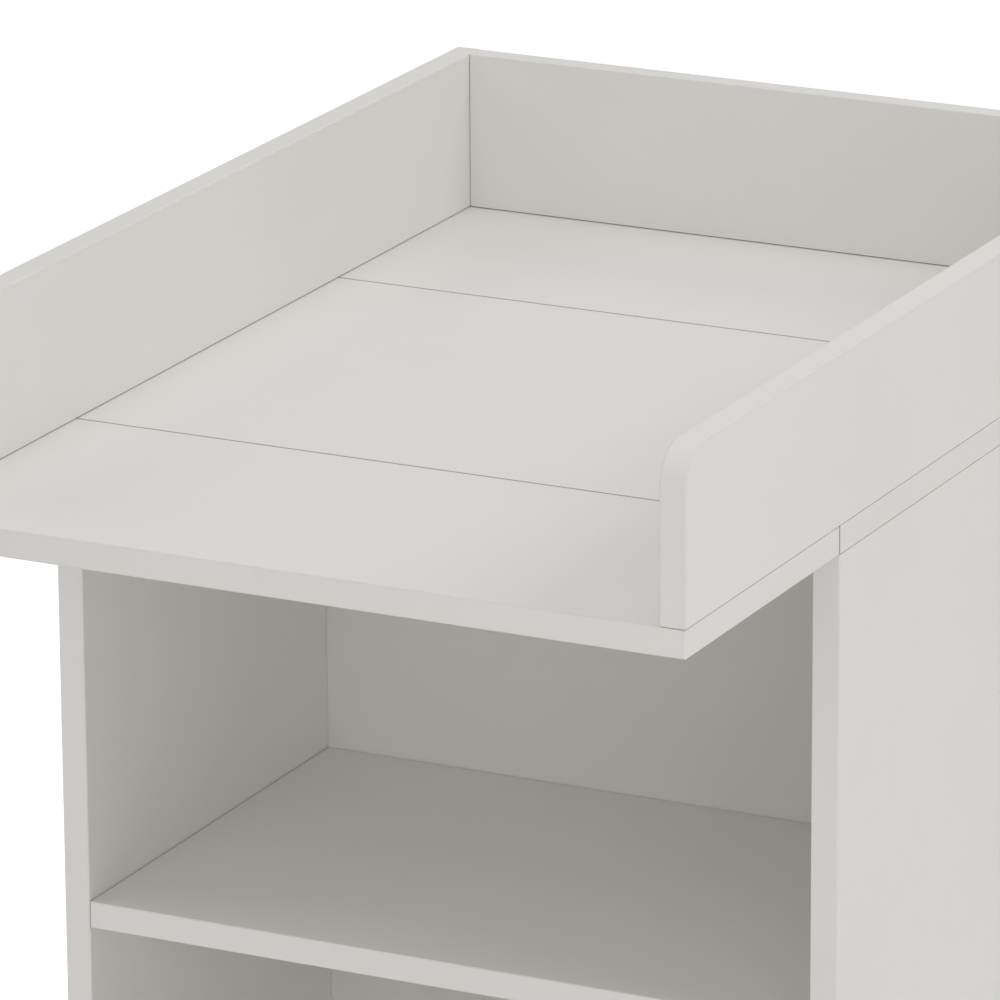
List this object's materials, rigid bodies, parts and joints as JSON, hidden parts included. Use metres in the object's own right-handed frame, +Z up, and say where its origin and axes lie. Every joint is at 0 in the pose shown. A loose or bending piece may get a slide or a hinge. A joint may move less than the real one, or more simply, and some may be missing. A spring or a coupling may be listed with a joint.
{
  "type": "changing table",
  "caption": "Changing table: a changing top fenced on three sides that overhangs a narrow open shelf cabinet at the front and the back.",
  "frame": {"origin": "on the floor under the middle of the footprint, the changing top's outline seen from above", "axes": "+Z up, front of the table (the open side) towards -Y, +X to the right of someone standing in front of it"},
  "size_m": [0.54, 0.79, 0.99],
  "materials": {
    "foil_board": "matt light warm grey foil on chipboard",
    "back_hardboard": "matt light warm grey lacquer on hardboard",
    "zinc_steel": "bright zinc-plated",
    "beech_peg": "plain turned beech",
    "nylon_glide": "moulded off-white nylon"
  },
  "bodies": {
    "cabinet": {"back_panel": "back_hardboard", "bottom_panel": "foil_board", "bottom_panel_cam_left_front": "zinc_steel", "bottom_panel_cam_left_rear": "zinc_steel", "bottom_panel_cam_right_front": "zinc_steel", "bottom_panel_cam_right_rear": "zinc_steel", "glide_left_front": "nylon_glide", "glide_left_rear": "nylon_glide", "glide_right_front": "nylon_glide", "glide_right_rear": "nylon_glide", "hold_down_edge_screw_left": "zinc_steel", "hold_down_edge_screw_right": "zinc_steel", "locating_peg_left_front": "beech_peg", "locating_peg_left_rear": "beech_peg", "locating_peg_right_front": "beech_peg", "locating_peg_right_rear": "beech_peg", "plinth": "foil_board", "shelf_pin_left_front": "zinc_steel", "shelf_pin_left_rear": "zinc_steel", "shelf_pin_right_front": "zinc_steel", "shelf_pin_right_rear": "zinc_steel", "side_panel_left": "foil_board", "side_panel_right": "foil_board", "top_panel": "foil_board", "top_panel_cam_left_front": "zinc_steel", "top_panel_cam_left_rear": "zinc_steel", "top_panel_cam_right_front": "zinc_steel", "top_panel_cam_right_rear": "zinc_steel", "upper_shelf": "foil_board", "upper_shelf_cam_left_front": "zinc_steel", "upper_shelf_cam_left_rear": "zinc_steel", "upper_shelf_cam_right_front": "zinc_steel", "upper_shelf_cam_right_rear": "zinc_steel"},
    "changing_top": {"back_fence": "foil_board", "back_fence_cam_left": "zinc_steel", "back_fence_cam_right": "zinc_steel", "back_fence_screw_left": "zinc_steel", "back_fence_screw_right": "zinc_steel", "front_board": "foil_board", "front_board_screw_left_inner": "zinc_steel", "front_board_screw_left_outer": "zinc_steel", "front_board_screw_right_inner": "zinc_steel", "front_board_screw_right_outer": "zinc_steel", "hold_down_board_screw_left": "zinc_steel", "hold_down_board_screw_right": "zinc_steel", "hold_down_left": "zinc_steel", "hold_down_right": "zinc_steel", "rear_board": "foil_board", "rear_board_screw_left_inner": "zinc_steel", "rear_board_screw_left_outer": "zinc_steel", "rear_board_screw_right_inner": "zinc_steel", "rear_board_screw_right_outer": "zinc_steel", "side_fence_left": "foil_board", "side_fence_right": "foil_board", "wall_bracket_left": "zinc_steel", "wall_bracket_right": "zinc_steel", "wall_bracket_screw_left": "zinc_steel", "wall_bracket_screw_right": "zinc_steel"},
    "loose_shelf": {"loose_shelf": "foil_board"}
  },
  "joints": [
    {"name": "changing_top_lift", "type": "slide", "parent": "cabinet", "child": "changing_top", "axis": [0, 0, 1], "range_m": [0, 0.15]},
    {"name": "loose_shelf_slide", "type": "slide", "parent": "cabinet", "child": "loose_shelf", "axis": [0, -1, 0], "range_m": [0, 0.25]}
  ]
}
